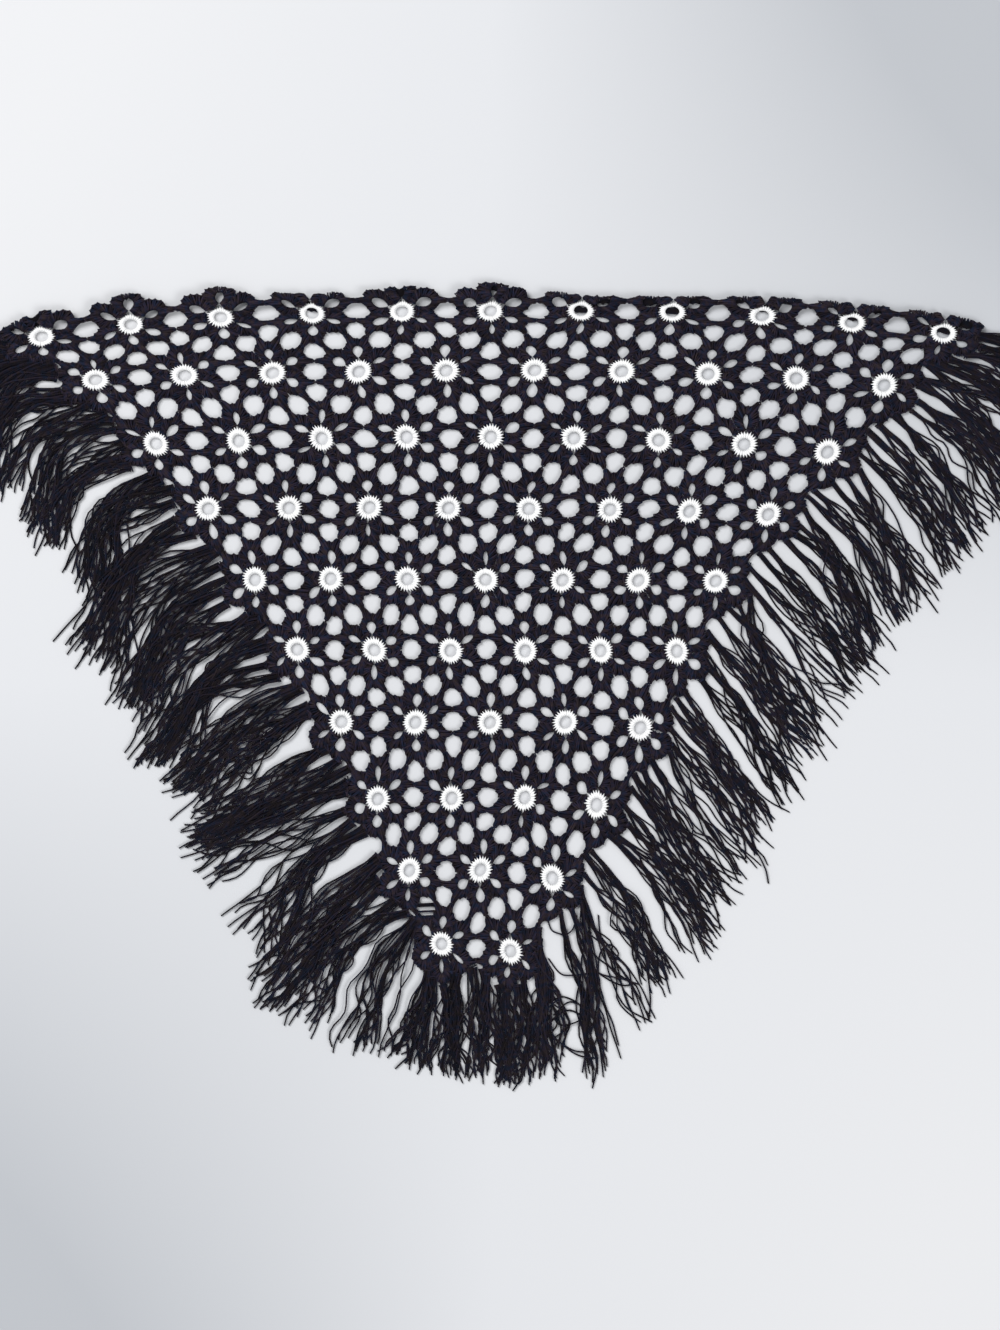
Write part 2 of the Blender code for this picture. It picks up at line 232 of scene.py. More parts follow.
def smooth_column(table, names, name, at):
    """A named column of a table, read at any places on a smooth curve through its rows."""
    at = np.asarray(at, float)
    keys = np.array([row[0] for row in table], float)
    values = np.array([row[names.index(name)] for row in table], float)
    slopes = np.gradient(values, keys)
    i = np.clip(np.searchsorted(keys, at) - 1, 0, len(keys) - 2)
    span = keys[i + 1] - keys[i]
    t = (at - keys[i]) / span
    from_start = (2 * t**3 - 3 * t**2 + 1) * values[i] + (t**3 - 2 * t**2 + t) * span * slopes[i]
    from_end = (3 * t**2 - 2 * t**3) * values[i + 1] + (t**3 - t**2) * span * slopes[i + 1]
    return from_start + from_end


def polar(radius, degrees):
    angle = np.radians(degrees)
    return np.stack([radius * np.cos(angle), radius * np.sin(angle)], axis=-1)


def laid_plain(points):
    """Places on the regular lattice, moved to where the laid shawl has them."""
    row = -points[..., 1] / ROW_STEP
    across = points[..., 0] / PITCH
    middle, pitch, height, left_sag, right_sag = (
        smooth_column(ROWS, ROW_COLUMNS, name, row) for name in ROW_COLUMNS[1:]
    )
    half_row = np.maximum((TOP_MOTIFS - 1 - row) / 2, LEAST_HALF_ROW)
    left = np.clip(-across / half_row, 0, MOST_SAG_REACH) ** 3
    right = np.clip(across / half_row, 0, MOST_SAG_REACH) ** 3
    return np.stack([middle + pitch * across, height - left_sag * left - right_sag * right], axis=-1)


def ring_centre(row, place):
    """Centre of a motif on the regular lattice."""
    return np.array([PITCH * (place - (TOP_MOTIFS - 1 - row) / 2), -row * ROW_STEP])


def border_rings():
    """The motifs round the border, counter-clockwise from the left tip."""
    left = [ring_centre(row, 0) for row in range(ROW_COUNT)]
    right = [ring_centre(row, TOP_MOTIFS - 1 - row) for row in reversed(range(ROW_COUNT))]
    top = [ring_centre(0, place) for place in range(TOP_MOTIFS - 2, 0, -1)]
    return left + right + top


def heading(vector):
    return math.degrees(math.atan2(vector[1], vector[0]))


def border():
    """The scalloped outline of the solids, on the lattice."""
    rings = border_rings()
    points = []
    for i, ring in enumerate(rings):
        before = rings[i - 1]
        after = rings[(i + 1) % len(rings)]
        start = heading(before - ring)
        petals = round((heading(after - ring) - start) % 360 / PETAL_ANGLE)
        points.append((before + ring) / 2 + polar(BORDER_JOINT_OFFSET, start + 90))
        for petal in range(petals):
            axis = start + PETAL_ANGLE * (petal + 0.5)
            if petal > 0:
                points.append(ring + polar(NOTCH_RADIUS, axis - PETAL_ANGLE / 2))
                points.append(ring + polar(PETAL_SHOULDER_RADIUS, axis - PETAL_SHOULDER_HALF_ANGLE))
            if 0 < petal < petals - 1:
                points.append(ring + polar(PETAL_TIP_RADIUS, axis - PETAL_TIP_HALF_ANGLE))
                points.append(ring + polar(PETAL_TIP_RADIUS, axis + PETAL_TIP_HALF_ANGLE))
            else:
                points.append(ring + polar(PETAL_TIP_RADIUS, axis))
            if petal < petals - 1:
                points.append(ring + polar(PETAL_SHOULDER_RADIUS, axis + PETAL_SHOULDER_HALF_ANGLE))
    return np.array(points)


def uneven(points):
    """Lattice places moved a little, as handwork is never quite regular."""
    moved = np.array(points, float)
    for size, length, angle, phase in WAVES:
        direction = polar(1, angle)
        turn = 2 * math.pi * (points @ direction) / length + phase
        moved = moved + size * np.sin(turn)[..., None] * polar(1, angle + 90)
    return moved


def folded(points, heights):
    """Lattice places and heights, with the cloth above the top row's rings folded under."""
    places, reaches = np.array(TOP_REACH).T
    turn_at = np.interp(points[..., 0], ring_centre(0, 0)[0] + PITCH * places, reaches) - FOLD_RADIUS
    out = TOP_SHARE * points[..., 1]
    angle = np.clip((out - turn_at) / FOLD_RADIUS, 0, math.pi)
    tail = np.maximum(0, out - turn_at - math.pi * FOLD_RADIUS)
    radius = FOLD_RADIUS + heights - CLOTH_MIDDLE
    reach = np.minimum(out, turn_at) + radius * np.sin(angle) - tail
    ramp = smooth_step(out / FOLD_RAMP)
    lift = CLOTH_MIDDLE + FOLD_RADIUS + radius * np.cos(angle)
    rows = np.linspace(-1.3, 0, 40)
    rise = smooth_column(ROWS, ROW_COLUMNS, "height", rows) - ROWS[1][ROW_COLUMNS.index("height")]
    lattice_rise = np.interp(reach, rise[::-1], -rows[::-1] * ROW_STEP)
    above = points[..., 1] > 0
    moved = np.array(points, float)
    moved[..., 1] = np.where(above, lattice_rise, points[..., 1])
    return moved, np.where(above, heights + ramp * (lift - heights), heights)


def smooth_step(share):
    share = np.clip(share, 0, 1)
    return share * share * (3 - 2 * share)


class Lie:
    """Turns lattice places into places on the floor, in the solids' own frame."""

    def __init__(self):
        low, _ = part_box("lace_panel")
        self.shift = np.array(low[:2]) / METRES - laid_plain(border()).min(axis=0)

    def place(self, points):
        return laid_plain(uneven(points)) + self.shift

    def place_plain(self, points):
        return laid_plain(points) + self.shift

    def raised(self, points, heights):
        """Laid points with heights, and the long edge folded under."""
        heights = np.broadcast_to(heights, points.shape[:-1])
        moved, lifted = folded(uneven(points), heights)
        return np.concatenate([laid_plain(moved) + self.shift, lifted[..., None]], axis=-1)


class Weaver:
    """Gathers faces and joins them into one mesh, with yarn coordinates and a shade for each."""

    def __init__(self):
        self.points = []
        self.faces = []
        self.coordinates = []
        self.shades = []
        self.total = 0

    def add(self, points, faces, coordinates, shades):
        """points (n, 3), faces (m, 4), coordinates (m, 4, 2) and shades (n,)."""
        self.points.append(points)
        self.faces.append(faces + self.total)
        self.coordinates.append(coordinates)
        self.shades.append(shades)
        self.total += len(points)

    def add_tubes(self, paths, half_widths, half_heights, rng, shades=(0.2, 1.0)):
        """Closed four-sided tubes along paths (count, length, 3), each with a shade of its own."""
        sides = 4
        count, length, _ = paths.shape
        half_widths = np.broadcast_to(half_widths, (count, length))
        half_heights = np.broadcast_to(half_heights, (count, length))
        tangents = np.gradient(paths, axis=1)
        tangents /= np.linalg.norm(tangents, axis=-1, keepdims=True) + 1e-9
        side = np.cross(np.array([0.0, 0, 1]), tangents[:, 0])
        weak = np.linalg.norm(side, axis=-1) < 0.05
        side[weak] = np.cross(np.array([0.0, 0, 1]), (paths[:, -1] - paths[:, 0])[weak])
        sides_along = np.empty_like(paths)
        for k in range(length):
            tangent = tangents[:, k]
            side = side - tangent * np.sum(side * tangent, axis=-1, keepdims=True)
            side = side / (np.linalg.norm(side, axis=-1, keepdims=True) + 1e-9)
            sides_along[:, k] = side
        normals = np.cross(tangents, sides_along)
        angles = 2 * np.pi * (np.arange(sides) + 0.5) / sides
        ring = (
            sides_along[:, :, None] * (half_widths[..., None] * np.cos(angles))[..., None]
            + normals[:, :, None] * (half_heights[..., None] * np.sin(angles))[..., None]
        )
        points = (paths[:, :, None] + ring).reshape(-1, 3)
        index = np.arange(count * length * sides).reshape(count, length, sides)
        following = np.roll(index, -1, axis=2)
        walls = np.stack([index[:, :-1], following[:, :-1], following[:, 1:], index[:, 1:]], axis=-1)
        steps = np.linalg.norm(np.diff(paths, axis=1), axis=-1)
        travelled = np.concatenate([np.zeros((count, 1)), np.cumsum(steps, axis=1)], axis=1)
        around = np.broadcast_to(np.arange(sides) / sides, (count, length - 1, sides))
        near = np.broadcast_to(travelled[:, :-1, None], around.shape)
        far = np.broadcast_to(travelled[:, 1:, None], around.shape)
        wall_coordinates = np.stack(
            [
                np.stack([around, near], axis=-1),
                np.stack([around + 1 / sides, near], axis=-1),
                np.stack([around + 1 / sides, far], axis=-1),
                np.stack([around, far], axis=-1),
            ],
            axis=-2,
        )
        caps = np.concatenate([index[:, 0, ::-1], index[:, -1]])
        faces = np.concatenate([walls.reshape(-1, 4), caps])
        coordinates = np.concatenate([wall_coordinates.reshape(-1, 4, 2), np.zeros((len(caps), 4, 2))])
        shade = rng.uniform(*shades, count)
        self.add(points, faces, coordinates, np.repeat(shade, length * sides))

    def add_bands(self, corners):
        """Closed flat bands, from the four courses (count, length, 3) of their long edges."""
        count, length, _ = corners[0].shape
        points = np.stack(corners, axis=2).reshape(-1, 3)
        index = np.arange(count * length * 4).reshape(count, length, 4)
        following = np.roll(index, -1, axis=2)
        walls = np.stack([index[:, :-1], following[:, :-1], following[:, 1:], index[:, 1:]], axis=-1)
        caps = np.concatenate([index[:, 0, ::-1], index[:, -1]])
        faces = np.concatenate([walls.reshape(-1, 4), caps])
        # The bands are the same yarn, but all take shade 0, the darkest of its colours: painted shade for the
        # shadow the stitches cast on the ground between them
        self.add(points, faces, np.zeros((len(faces), 4, 2)), np.zeros(len(points)))

    def piece(self, name, material, smooth=True):
        """The joined mesh as one object."""
        points = np.concatenate(self.points)
        points[:, 2] = np.maximum(points[:, 2], LEAST_HEIGHT)
        points *= METRES
        faces = np.concatenate(self.faces)
        coordinates = np.concatenate(self.coordinates)
        mesh = bpy.data.meshes.new(name)
        mesh.vertices.add(len(points))
        mesh.vertices.foreach_set("co", points.ravel())
        mesh.loops.add(len(faces) * 4)
        mesh.loops.foreach_set("vertex_index", faces.ravel())
        mesh.polygons.add(len(faces))
        mesh.polygons.foreach_set("loop_start", np.arange(len(faces)) * 4)
        mesh.polygons.foreach_set("loop_total", np.full(len(faces), 4))
        mesh.polygons.foreach_set("use_smooth", np.full(len(faces), smooth))
        layer = mesh.uv_layers.new(name="yarn")
        layer.data.foreach_set("uv", coordinates.ravel())
        shade = mesh.attributes.new("shade", "FLOAT", "POINT")
        shade.data.foreach_set("value", np.concatenate(self.shades))
        mesh.update(calc_edges=True)
        mesh.validate()
        mesh.materials.append(material)
        thing = bpy.data.objects.new(name, mesh)
        bpy.context.scene.collection.objects.link(thing)
        return thing


def smooth_course(points, count):
    """A list of points joined by a smooth curve, read at equal steps of its length."""
    points = np.array(points, float)
    padded = np.concatenate([[2 * points[0] - points[1]], points, [2 * points[-1] - points[-2]]])
    dense = []
    for i in range(1, len(padded) - 2):
        a, b, c, d = padded[i - 1 : i + 3]
        for t in np.linspace(0, 1, 12, endpoint=False):
            dense.append(
                0.5 * (2 * b + (c - a) * t + (2 * a - 5 * b + 4 * c - d) * t**2 + (3 * b - a - 3 * c + d) * t**3)
            )
    dense = np.array(dense + [points[-1]])
    travelled = np.concatenate([[0], np.cumsum(np.linalg.norm(np.diff(dense, axis=0), axis=1))])
    at = np.linspace(0, travelled[-1], count)
    return np.stack([np.interp(at, travelled, dense[:, k]) for k in range(2)], axis=-1)


def petal_outline(low_side, high_side, count):
    """The whole outer course of a petal, from the ring round the tip and back to the ring."""
    low = [(x, -y) for x, y in low_side]
    high = list(reversed(high_side))[1:]
    return smooth_course(low + high, count)


def hole_course(count, width, length, slant):
    """The drop-shaped hole of each petal, one row of points for each petal."""
    turn = np.radians(np.linspace(-HOLE_OPEN_ANGLE, HOLE_OPEN_ANGLE, count))[None]
    reach = np.where(np.cos(turn) > 0, HOLE_OUTER_HALF, HOLE_INNER_HALF) * length[:, None]
    x = HOLE_CENTRE + reach * np.cos(turn)
    pointed = 1 - HOLE_POINT * np.maximum(0, -np.cos(turn))
    y = HOLE_HALF_WIDTH * width[:, None] * np.sin(turn) * pointed
    y = y + slant[:, None] * (x - HOLE_CENTRE + HOLE_INNER_HALF)
    return np.stack([x, y], axis=-1)


def turned(points, degrees):
    """Rows of points turned about the origin, each row by its own angle."""
    c = np.cos(np.radians(degrees))[:, None]
    s = np.sin(np.radians(degrees))[:, None]
    x, y = points[..., 0], points[..., 1]
    return np.stack([c * x - s * y, s * x + c * y], axis=-1)


def motif_rows(first_row, last_row):
    return [(row, place) for row in range(first_row, last_row + 1) for place in range(TOP_MOTIFS - row)]


def exists(row, place):
    return 0 <= row < ROW_COUNT and 0 <= place <= TOP_MOTIFS - 1 - row


# Steps in row and place to the neighbour at each multiple of 60 degrees
NEIGHBOURS = ((0, 1), (-1, 1), (-1, 0), (0, -1), (1, -1), (1, 0))


class Petals:
    """All petals of some rows of motifs, as arrays with one row for each petal."""

    def __init__(self, motifs, rng):
        centres = []
        angles = []
        kinds = []
        for row, place in motifs:
            joined = [exists(row + down, place + right) for down, right in NEIGHBOURS]
            for k in range(PETALS):
                centres.append(ring_centre(row, place))
                angles.append(PETAL_ANGLE * (k + 0.5))
                kinds.append((joined[k], joined[(k + 1) % PETALS]))
        self.centres = np.array(centres)
        self.angles = np.array(angles)
        self.kinds = kinds
        self.count = len(kinds)
        self.width = rng.uniform(0.5, 1.08, self.count)
        self.length = rng.uniform(0.76, 1.02, self.count)
        self.slant = rng.normal(0, 0.07, self.count)
        self.wobble = rng.normal(0, 1, (self.count, len(WOBBLES))) * WOBBLES

    def on_lattice(self, local):
        return turned(local, self.angles) + self.centres[:, None]

    def holes(self, count):
        return hole_course(count, self.width, self.length, self.slant)

    def outlines(self, count):
        sides = {True: JOINED_SIDE, False: FREE_SIDE}
        shapes = {
            (low, high): petal_outline(sides[low], sides[high], count)
            for low in (True, False)
            for high in (True, False)
        }
        outline = np.array([shapes[kind] for kind in self.kinds])
        share = np.linspace(0, 1, count)
        waves = np.sin(math.pi * np.outer(np.arange(len(WOBBLES)) + 2, share))
        bulge = self.wobble @ waves
        outward = outline - np.array([HOLE_CENTRE, 0])
        outward = outward / np.linalg.norm(outward, axis=-1, keepdims=True)
        return outline + outward * bulge[..., None]


def add_web(weaver, petals, lie):
    """The ground of each petal, which shows between its stitches, in the darkest yarn colour as painted shade."""
    holes = petals.holes(WEB_STEPS)
    outlines = petals.outlines(WEB_STEPS)
    inner = holes - 0.02 * (outlines - holes)
    outer = holes + 0.97 * (outlines - holes)
    inner, outer = (petals.on_lattice(course) for course in (inner, outer))
    edges = ((inner, WEB_LOW), (outer, WEB_LOW), (outer, WEB_HIGH), (inner, WEB_HIGH))
    weaver.add_bands([lie.raised(course, height) for course, height in edges])


# Course of one strand of a tall stitch: share of the way from hole to rim, height, half-width
STITCH_COURSE = ((-0.01, 2.4, 0.7), (0.12, 4.8, 0.95), (0.5, 4.6, 1.4), (0.93, 3.4, 1.3))
STITCH_CROSSING = (0.0, 0.25, -0.1, -0.45)


def add_stitches(weaver, petals, lie, rng):
    """The tall stitches that fan out from each hole, two strands each, with a slight twist."""
    strands = STITCHES * 2
    holes = petals.holes(strands)
    outlines = petals.outlines(strands)
    across = np.gradient(outlines, axis=1)
    across /= np.linalg.norm(across, axis=-1, keepdims=True)
    lean = np.where(np.arange(strands) % 2 == 0, 1.0, -1.0)[None, :, None]
    jitter = rng.normal(0, 0.16, (petals.count, strands, 1))
    places = []
    heights = []
    for (share, height, _), crossing in zip(STITCH_COURSE, STITCH_CROSSING):
        place = holes + share * (outlines - holes) + across * (crossing * lean + jitter)
        places.append(petals.on_lattice(place))
        heights.append(np.broadcast_to(height + 0.25 * lean[..., 0] * (share > 0.3), place.shape[:2]))
    points = np.stack(places, axis=2)
    levels = np.stack(heights, axis=2) + rng.normal(0, 0.12, (petals.count, strands, 1))
    raised = lie.raised(points, levels).reshape(petals.count * strands, len(STITCH_COURSE), 3)
    widths = np.array([width for _, _, width in STITCH_COURSE])
    weaver.add_tubes(raised, widths, widths, rng)


RIM_STEPS = STITCHES * 2 + 1


def add_rim(weaver, petals, lie, rng):
    """The chain of loops along each petal's rim: two strands that pass over and under."""
    holes = petals.holes(RIM_STEPS)
    outlines = petals.outlines(RIM_STEPS)
    outward = outlines - holes
    outward /= np.linalg.norm(outward, axis=-1, keepdims=True)
    swing = np.where(np.arange(RIM_STEPS) % 2 == 0, 1.0, -1.0)
    bumps = 0.7 * swing + rng.normal(0, 0.42, outlines.shape[:2])
    for sign in (1, -1):
        place = outlines + outward * (bumps + 0.3 * sign * np.roll(swing, 1) - 0.8)[..., None]
        levels = 3.3 + 0.6 * sign * np.roll(swing, 1)[None] + rng.normal(0, 0.1, place.shape[:2])
        raised = lie.raised(petals.on_lattice(place), levels)
        weaver.add_tubes(raised, 0.98, 0.98, rng)


def ring_shape(centre, lie):
    """How a ring on the lattice is stretched by the lie of the cloth, half as much as the cloth."""
    step = 5.0
    there = lie.place(np.array([centre + [step, 0], centre - [step, 0], centre + [0, step], centre - [0, step]]))
    stretch = np.column_stack([there[0] - there[1], there[2] - there[3]]) / (2 * step)
    left, sizes, right = np.linalg.svd(stretch)
    return left @ np.diag(sizes**0.5) @ right


def add_rings(weaver, lie, rng):
    """Every ring: a hoop under closely worked pointed stitches of thread."""
    course = np.array(THREAD_COURSE)
    for row, place in motif_rows(0, ROW_COUNT - 1):
        centre = ring_centre(row, place)
        middle = lie.place(centre[None])[0]
        shape = ring_shape(centre, lie)
        tilt = rng.normal(0, 0.035, 2)
        stitches = RING_STITCHES + rng.integers(-2, 3)
        turns = 360 * (np.arange(stitches) + rng.uniform(-0.1, 0.1, stitches)) / stitches
        swirl = np.linspace(-3, 3, len(course))
        radii = course[None, :, 0] + np.outer(rng.normal(0, 0.5, stitches), np.linspace(0, 1, len(course)) ** 4)
        local = polar(radii, turns[:, None] + swirl[None])
        heights = np.maximum(course[None, :, 1] + local @ tilt, 1.2)
        flat = local @ shape.T + middle
        paths = np.concatenate([flat, heights[..., None]], axis=-1)
        widths = np.broadcast_to(course[:, 2], heights.shape)
        weaver.add_tubes(paths, widths, np.minimum(widths, 0.85), rng)
        add_hoop(weaver, middle, shape, tilt, rng)


HOOP_STEPS = 28


def add_hoop(weaver, middle, shape, tilt, rng):
    """The plain hoop inside the stitches."""
    around = np.linspace(0, 360, HOOP_STEPS + 1)
    local = polar(RING_CORE_RADIUS, around)
    heights = RING_CORE_HEIGHT + local @ tilt
    path = np.concatenate([local @ shape.T + middle, heights[:, None]], axis=-1)[None]
    weaver.add_tubes(path, RING_CORE_HALF, 2.2, rng)


def strip_stretches():
    """The course of the fringe's roots: an arc round each corner motif and a straight side
    between them. Each has the ring it starts and ends at, and the outward heading there."""
    left_tip = ring_centre(0, 0)
    low_left = ring_centre(ROW_COUNT - 1, 0)
    low_right = ring_centre(ROW_COUNT - 1, TOP_MOTIFS - ROW_COUNT)
    right_tip = ring_centre(0, TOP_MOTIFS - 1)
    return (
        (left_tip, left_tip, STRIP_START_ANGLE, LEFT_SIDE_ANGLE),
        (left_tip, low_left, LEFT_SIDE_ANGLE, LEFT_SIDE_ANGLE),
        (low_left, low_left, LEFT_SIDE_ANGLE, BOTTOM_ANGLE),
        (low_left, low_right, BOTTOM_ANGLE, BOTTOM_ANGLE),
        (low_right, low_right, BOTTOM_ANGLE, RIGHT_SIDE_ANGLE),
        (low_right, right_tip, RIGHT_SIDE_ANGLE, RIGHT_SIDE_ANGLE),
        (right_tip, right_tip, RIGHT_SIDE_ANGLE, STRIP_END_ANGLE),
    )


def stretch_length(first, last, start_angle, end_angle):
    return np.linalg.norm(last - first) + STRIP_RADIUS * math.radians(end_angle - start_angle)


def strip_place(along):
    """A lattice point of the fringe's course, and the outward heading there."""
    for first, last, start_angle, end_angle in strip_stretches():
        length = stretch_length(first, last, start_angle, end_angle)
        if along <= length:
            break
        along -= length
    share = along / length
    travelled = share * np.linalg.norm(last - first)
    dip = STRIP_DIP * (1 - math.cos(2 * math.pi * travelled / PITCH)) / 2
    angle = start_angle + share * (end_angle - start_angle)
    return first + share * (last - first) + polar(STRIP_RADIUS - dip, angle), angle


def border_root(along, outline):
    """The point of the panel's border behind a place on the fringe's course."""
    place, angle = strip_place(along)
    inward = -polar(1, angle)
    starts = outline
    spans = np.roll(outline, -1, axis=0) - outline
    cross = inward[0] * spans[:, 1] - inward[1] * spans[:, 0]
    apart = starts - place
    distance = (apart[:, 0] * spans[:, 1] - apart[:, 1] * spans[:, 0]) / np.where(cross == 0, 1e-9, cross)
    share = (apart[:, 0] * inward[1] - apart[:, 1] * inward[0]) / np.where(cross == 0, 1e-9, cross)
    hits = distance[(share >= 0) & (share <= 1) & (distance > -4)]
    return place + inward * (hits.min() if len(hits) else 0)


def fringe_courses(alongs, lean, lengths, lie, outline):
    """Middle course of the bundle at each place along the border, from its knot to its cut end."""
    roots = lie.place(np.array([border_root(a, outline) for a in alongs]))
    strips = lie.place(np.array([strip_place(a)[0] for a in alongs]))
    keys, root_heading, end_heading, length = np.array(FRINGE, float).T
    first = np.interp(alongs, keys, root_heading) + lean[0]
    last = np.interp(alongs, keys, end_heading) + lean[1]
    length = np.interp(alongs, keys, length) * lengths
    share = np.linspace(0, 1, STRAND_POINTS)
    bend = smooth_step((share - 0.04 - lean[2][:, None]) / 0.62)
    headings = first[:, None] + (last - first)[:, None] * bend
    steps = polar(1, headings) * (length / (STRAND_POINTS - 1))[:, None, None]
    travel = np.cumsum(steps, axis=1) - steps
    free = strips[:, None] + travel
    slip = (roots - strips)[:, None] * (1 - smooth_step(share / 0.45))[None, :, None]
    return free + slip, headings


def group_targets(alongs):
    """For each bundle, the middle of its group and how far it is drawn towards it."""
    ends, pulls = np.array(GROUPS).T
    starts = np.concatenate([[0], ends[:-1]])
    group = np.searchsorted(ends, alongs)
    return ((starts + ends) / 2)[group], pulls[group], group


def bundle_places(start, end):
    """Places for bundles between two places on the border, as close as CROWDING has them."""
    fine = np.linspace(start, end, 400)
    crowd = np.interp(fine, *np.array(CROWDING).T)
    filled = np.concatenate([[0], np.cumsum((crowd[1:] + crowd[:-1]) / 2 * np.diff(fine))])
    count = round(filled[-1] / LOCK_SPACING)
    return np.interp(filled[-1] * (np.arange(count) + 0.5) / count, filled, fine)


def clear_of_bare(alongs):
    """Places along the border, moved out of its bare stretches to the nearer end."""
    for start, end in BARE:
        inside = (alongs > start) & (alongs < end)
        nearer = np.where(alongs < (start + end) / 2, start, end)
        alongs = np.where(inside, nearer, alongs)
    return alongs


def add_fringe(weaver, start, end, strands, spreads, lie, outline, rng):
    """A stretch of fringe: bundles of wavy strands, some drawn together, with a knot each."""
    alongs = bundle_places(start, end)
    count = len(alongs)
    alongs = clear_of_bare(np.clip(alongs + rng.normal(0, 3.4, count), start, end))
    targets, pull, group = group_targets(alongs)
    group_noise = np.random.default_rng(SEED).normal(0, 1, (2, len(GROUPS)))
    end_lean = rng.normal(0, 5.5, count) + 4.0 * group_noise[0][group]
    lean = (rng.normal(0, 9, count), end_lean, rng.uniform(-0.1, 0.12, count))
    lengths = rng.normal(1, 0.04, count) + 0.035 * group_noise[1][group]
    own, headings = fringe_courses(alongs, lean, lengths, lie, outline)
    shared, _ = fringe_courses(targets, lean, lengths, lie, outline)
    share = np.linspace(0, 1, STRAND_POINTS)
    drawn = pull[:, None] * smooth_step((share - 0.08) / 0.65)[None]
    middle = own + (shared - own) * drawn[..., None]
    normals = polar(1, headings + 90)

    shape = (count, strands, STRAND_POINTS)
    slot = rng.permuted(np.tile(np.linspace(-1, 1, strands), (count, 1)), axis=1)
    at_root, added, by_share, drifted = spreads
    spread = at_root + added * smooth_step((share - 0.04) / by_share)
    fan_sizes = rng.uniform(0.7, 1.3, count)
    fan = slot[..., None] * spread * fan_sizes[:, None, None]
    wave = np.zeros(shape)
    for waves, size in STRAND_WAVES:
        phase = rng.uniform(0, 2 * np.pi, shape[:2])[..., None]
        turns = waves * rng.uniform(0.75, 1.25, shape[:2])[..., None]
        strength = rng.normal(0, size, shape[:2])[..., None]
        wave = wave + strength * np.sin(2 * np.pi * share * turns + phase) * smooth_step(share / 0.3)
    drift = rng.normal(0, drifted, shape[:2])[..., None] * share**1.5
    length = rng.normal(1, 0.06, shape[:2])
    along_middle = np.broadcast_to(middle[:, None], (*shape, 2))
    root = along_middle[:, :, :1]
    stretched = root + (along_middle - root) * (1 + (length - 1)[..., None, None] * share[:, None])

    is_stray = rng.uniform(0, 1, shape[:2]) < STRAY_SHARE
    curl_size = np.where(is_stray, rng.uniform(4, 11, shape[:2]), 0)[..., None] * np.sin(np.pi * share) ** 1.5
    turns = rng.uniform(1.0, 1.8, shape[:2])[..., None]
    curl_turn = 2 * np.pi * share * turns + rng.uniform(0, 6, shape[:2])[..., None]
    sideways = (fan + wave + drift + curl_size * np.sin(curl_turn))[..., None] * normals[:, None]
    onward = (curl_size * np.cos(curl_turn))[..., None] * polar(1, headings)[:, None]
    flat = stretched + sideways + onward

    layer = rng.uniform(0, 1, shape[:2])[..., None]
    weave = 0.5 + 0.5 * np.sin(2 * np.pi * share * 1.6 + rng.uniform(0, 2 * np.pi, shape[:2])[..., None])
    low_end = 1 - 0.7 * smooth_step((share - 0.5) / 0.5)
    lift = 1.1 + 3.9 * (0.65 * layer + 0.35 * weave) * low_end
    height = lift + 1.4 * (1 - smooth_step(share / 0.12))
    paths = np.concatenate([flat, height[..., None]], axis=-1).reshape(-1, STRAND_POINTS, 3)
    taper = np.where(share > 0.97, 0.8, 1.0)
    weaver.add_tubes(paths, STRAND_RADIUS * taper, STRAND_RADIUS * taper, rng, STRAND_SHADES)
    add_knots(weaver, own, headings, at_root * fan_sizes + KNOT_MARGIN, rng)


# Waves of a strand over its length, and how far each swings it
STRAND_WAVES = ((0.8, 4.2), (1.7, 3.2), (3.0, 1.7), (5.5, 0.35))


def add_loose_ends(weaver, lie, rng):
    """The few loops and ends that hang clear of the bundles."""
    for course in LOOSE_ENDS:
        flat = smooth_course(course, 4 * STRAND_POINTS // 2) + lie.shift
        rise = np.sin(np.linspace(0, np.pi, len(flat)))
        path = np.column_stack([flat, 1.2 + 2.2 * rise])[None]
        weaver.add_tubes(path, STRAND_RADIUS, STRAND_RADIUS, rng, STRAND_SHADES)


# Threads across one gap at the lower left: where they start and end, and their places up the gap
LADDER_START = -104.0
LADDER_END = -77.0
LADDER_RUNGS = (-287.4, -289.6, -296.2, -302.2, -304.4)


def add_ladder(weaver, lie, rng):
    """The darned gap beside the lower left ring."""
    for level in LADDER_RUNGS:
        flat = np.array([[x, level + 0.05 * (x - LADDER_START)] for x in np.linspace(LADDER_START, LADDER_END, 6)])
        path = np.column_stack([flat + lie.shift, 2.4 + rng.uniform(-0.5, 0.5, len(flat))])[None]
        weaver.add_tubes(path, 1.7, 1.3, rng, STRAND_SHADES)


KNOT_MARGIN = 0.8
KNOT_WRAPS = 2


def add_knots(weaver, courses, headings, half_widths, rng):
    """The wraps of each bundle's knot, across the bundle just outside the petal's rim."""
    turn = np.linspace(-1, 1, 6)
    for wrap in range(KNOT_WRAPS):
        centre = courses[:, 0] + polar(1, headings[:, 0]) * (1.9 * wrap - 0.8)
        across = polar(1, headings[:, 0] + 90 + rng.normal(0, 8, len(courses)))
        reach = half_widths[:, None] * np.sin(turn * math.pi / 2)
        flat = centre[:, None] + across[:, None] * reach[..., None]
        height = 2.0 + 3.4 * np.cos(turn * math.pi / 2) ** 0.6
        paths = np.concatenate([flat, np.broadcast_to(height, flat.shape[:2])[..., None]], axis=-1)
        weaver.add_tubes(paths, 1.15, 1.0, rng)


